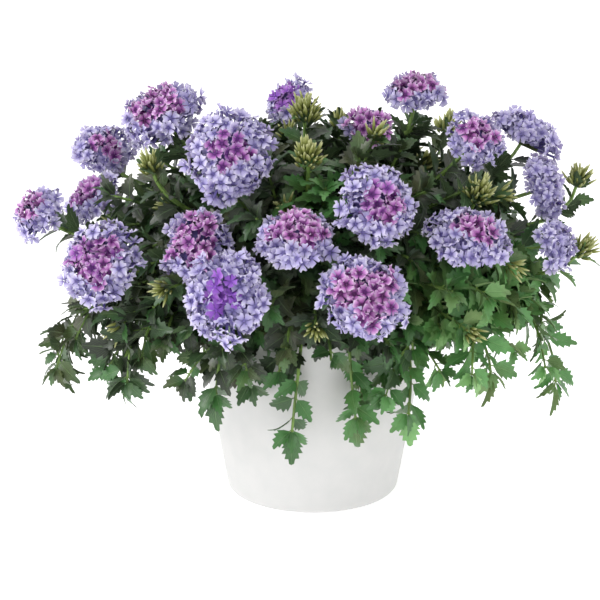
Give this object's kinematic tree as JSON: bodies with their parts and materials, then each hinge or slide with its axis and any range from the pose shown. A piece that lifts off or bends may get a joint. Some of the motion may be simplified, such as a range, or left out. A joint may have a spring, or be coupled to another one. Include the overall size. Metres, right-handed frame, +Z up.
{
  "type": "potted verbena",
  "caption": "Bushy potted verbena: domed heads of lobed lavender florets with pink centres over toothed leaves, with leafy stems that trail over a plain tapered pot.",
  "frame": {"origin": "centre of the flat base of the pot, where it stands", "axes": "+Z up along the pot's axis; -Y towards the front, the side that the picture shows; +X to the right as seen from the front"},
  "size_m": [0.4068, 0.3314, 0.2988],
  "materials": {
    "pot": "satin",
    "soil": "matte",
    "lavender_petals": "matte",
    "pink_petals": "matte",
    "foliage": "satin"
  },
  "bodies": {
    "root": {"crown_and_flowering_shoots": "foliage", "flower_head_01_inner_florets": "pink_petals", "flower_head_01_outer_florets": "lavender_petals", "flower_head_02_inner_florets": "pink_petals", "flower_head_02_outer_florets": "lavender_petals", "flower_head_03_inner_florets": "pink_petals", "flower_head_03_outer_florets": "lavender_petals", "flower_head_04_inner_florets": "pink_petals", "flower_head_04_outer_florets": "lavender_petals", "flower_head_05_inner_florets": "pink_petals", "flower_head_05_outer_florets": "lavender_petals", "flower_head_06_inner_florets": "pink_petals", "flower_head_06_outer_florets": "lavender_petals", "flower_head_07_outer_florets": "lavender_petals", "flower_head_08_outer_florets": "lavender_petals", "flower_head_09_inner_florets": "pink_petals", "flower_head_09_outer_florets": "lavender_petals", "flower_head_10_inner_florets": "pink_petals", "flower_head_10_outer_florets": "lavender_petals", "flower_head_11_inner_florets": "pink_petals", "flower_head_11_outer_florets": "lavender_petals", "flower_head_12_inner_florets": "pink_petals", "flower_head_12_outer_florets": "lavender_petals", "flower_head_13_inner_florets": "pink_petals", "flower_head_13_outer_florets": "lavender_petals", "flower_head_14_inner_florets": "pink_petals", "flower_head_14_outer_florets": "lavender_petals", "flower_head_15_inner_florets": "pink_petals", "flower_head_15_outer_florets": "lavender_petals", "flower_head_16_inner_florets": "pink_petals", "flower_head_16_outer_florets": "lavender_petals", "flower_head_17_inner_florets": "pink_petals", "flower_head_17_outer_florets": "lavender_petals", "flower_head_18_inner_florets": "pink_petals", "flower_head_18_outer_florets": "lavender_petals", "flower_head_19_outer_florets": "lavender_petals", "flower_head_20_inner_florets": "pink_petals", "flower_head_20_outer_florets": "lavender_petals", "flower_head_21_inner_florets": "pink_petals", "flower_head_21_outer_florets": "lavender_petals", "flower_head_22_outer_florets": "lavender_petals", "flower_head_23_inner_florets": "pink_petals", "flower_head_23_outer_florets": "lavender_petals", "flower_head_24_inner_florets": "pink_petals", "flower_head_24_outer_florets": "lavender_petals", "pot": "pot", "potting_soil": "soil", "trailing_stem_01": "foliage", "trailing_stem_02": "foliage", "trailing_stem_03": "foliage", "trailing_stem_04": "foliage", "trailing_stem_05": "foliage", "trailing_stem_06": "foliage", "trailing_stem_07": "foliage", "trailing_stem_08": "foliage", "trailing_stem_09": "foliage", "trailing_stem_10": "foliage", "trailing_stem_11": "foliage"}
  },
  "joints": []
}
